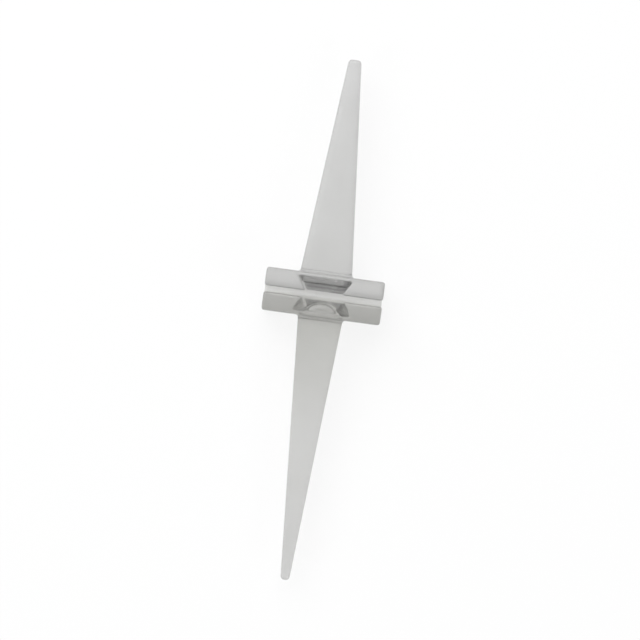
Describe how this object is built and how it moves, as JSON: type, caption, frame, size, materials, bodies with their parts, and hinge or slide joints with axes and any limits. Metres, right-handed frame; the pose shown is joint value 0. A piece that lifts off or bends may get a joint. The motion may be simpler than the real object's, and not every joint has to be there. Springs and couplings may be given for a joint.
{
  "type": "finger joint implant",
  "caption": "Soft one-piece spacer for a knuckle: two tapered stems stand out of slotted hinge blocks, joined by a thin web that bends as the finger flexes.",
  "frame": {"origin": "middle of the hinge on its palm side face, which the implant rests on", "axes": "+X across the finger, +Y along the distal stem to the fingertip, +Z to the back of the hand"},
  "size_m": [0.0148, 0.0654, 0.0076],
  "materials": {
    "silicone": "satin, milky and translucent"
  },
  "bodies": {
    "proximal": {"proximal_half": "silicone", "hinge_web": "silicone"},
    "distal": {"distal_half": "silicone"}
  },
  "joints": [
    {"name": "flexion", "type": "hinge", "parent": "proximal", "child": "distal", "pos_m": [0, 0, 0.0003], "axis": [-1, 0, 0], "range_deg": [-5, 90], "stiffness_Nm_per_rad": 0.0045, "deforming": ["hinge_web"]}
  ]
}
